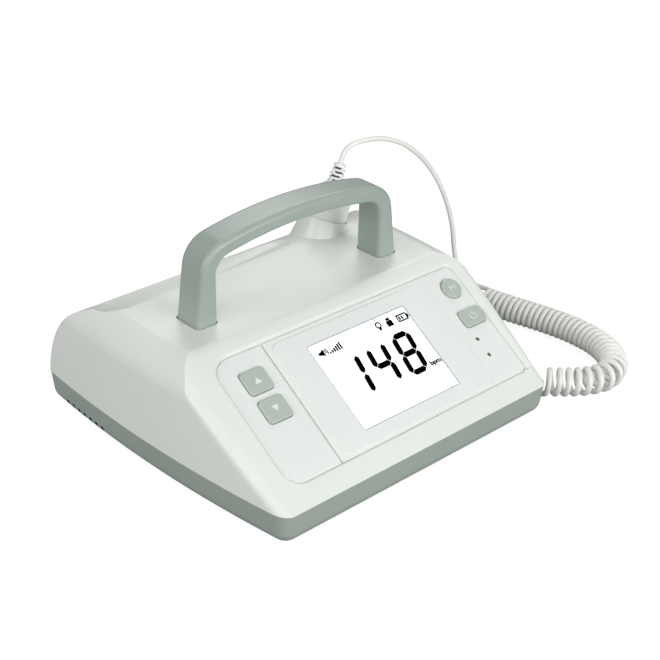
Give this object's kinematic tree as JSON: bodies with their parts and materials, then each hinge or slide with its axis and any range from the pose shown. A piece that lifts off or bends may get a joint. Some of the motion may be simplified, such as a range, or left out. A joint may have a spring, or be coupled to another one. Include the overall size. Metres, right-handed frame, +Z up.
{
  "type": "desktop fetal doppler",
  "caption": "Desk-standing fetal heart doppler: white case with a sloped display and keys, sage base and carrying handle, leaning probe in its holder, curly probe cord.",
  "frame": {"origin": "on the table under the middle of the case's footprint", "axes": "+X to the right seen from the front, +Y to the back, +Z up"},
  "size_m": [0.3198, 0.2256, 0.1366],
  "materials": {
    "white_shell": "satin moulded ABS",
    "sage_shell": "satin moulded ABS",
    "white_plate": "satin moulded plate",
    "sage_key": "satin moulded ABS",
    "probe_shell": "satin moulded ABS",
    "clear_window": "clear acrylic",
    "display_cell": "liquid crystal glass with a printed border",
    "backlight_block": "diffuser",
    "lamp_resin": "tinted epoxy",
    "circuit_board": "solder mask",
    "black_block": "moulded",
    "plunger": "moulded",
    "zinc_steel": "zinc plated",
    "tinned_steel": "tin plated",
    "soft_rubber": "moulded",
    "relief_rubber": "moulded",
    "cord_jacket": "extruded polyurethane",
    "gland_nylon": "moulded",
    "lens_resin": "cast epoxy",
    "ceramic_disc": "fired ceramic with silvered faces",
    "cell_sleeve": "shrunk sleeve",
    "magnet_steel": "plated",
    "cone_paper": "pressed paper",
    "brass_pin": "nickel flashed"
  },
  "bodies": {
    "root": {"top_casing": "white_shell", "base_shell": "sage_shell", "feet": "soft_rubber", "handle": "sage_shell", "handle_bracket": "zinc_steel", "handle_screws": "zinc_steel", "key_panel": "white_plate", "display_panel": "white_plate", "display_window": "clear_window", "display_glass": "display_cell", "backlight": "backlight_block", "front_board": "circuit_board", "front_board_screws": "zinc_steel", "indicator_lamps": "lamp_resin", "key_switches": "black_block", "probe_holder": "probe_shell", "case_screws": "zinc_steel", "battery_cover": "sage_shell", "cover_screws": "zinc_steel", "battery_cells": "cell_sleeve", "main_board": "circuit_board", "board_screws": "zinc_steel", "shield_can": "tinned_steel", "board_connectors": "black_block", "speaker_frame": "tinned_steel", "speaker_cone": "cone_paper", "speaker_magnet": "magnet_steel", "supply_inlet": "black_block", "inlet_pin": "brass_pin", "probe_lead": "cord_jacket", "curly_cord": "cord_jacket", "cord_gland": "gland_nylon"},
    "up_key": {"up_key": "sage_key", "up_plunger": "plunger"},
    "down_key": {"down_key": "sage_key", "down_plunger": "plunger"},
    "power_key": {"power_key": "sage_key", "power_plunger": "plunger"},
    "mode_key": {"mode_key": "sage_key", "mode_plunger": "plunger"},
    "probe": {"probe_housing": "probe_shell", "probe_head": "probe_shell", "probe_lens": "lens_resin", "transducer_disc": "ceramic_disc", "probe_board": "circuit_board", "probe_relief": "relief_rubber"}
  },
  "joints": [
    {"name": "up_key_press", "type": "slide", "parent": "root", "child": "up_key", "axis": [0, 0.5311, -0.8473], "range_m": [0, 0.0008], "stiffness_N_per_m": 800, "springref_m": -0.0005},
    {"name": "down_key_press", "type": "slide", "parent": "root", "child": "down_key", "axis": [0, 0.5311, -0.8473], "range_m": [0, 0.0008], "stiffness_N_per_m": 800, "springref_m": -0.0005},
    {"name": "power_key_press", "type": "slide", "parent": "root", "child": "power_key", "axis": [0, 0.5311, -0.8473], "range_m": [0, 0.0008], "stiffness_N_per_m": 800, "springref_m": -0.0005},
    {"name": "mode_key_press", "type": "slide", "parent": "root", "child": "mode_key", "axis": [0, 0.5311, -0.8473], "range_m": [0, 0.0008], "stiffness_N_per_m": 800, "springref_m": -0.0005},
    {"name": "probe_lift", "type": "slide", "parent": "root", "child": "probe", "axis": [0.3355, 0, 0.9421], "range_m": [0, 0.075], "deforming": ["probe_lead"]}
  ]
}
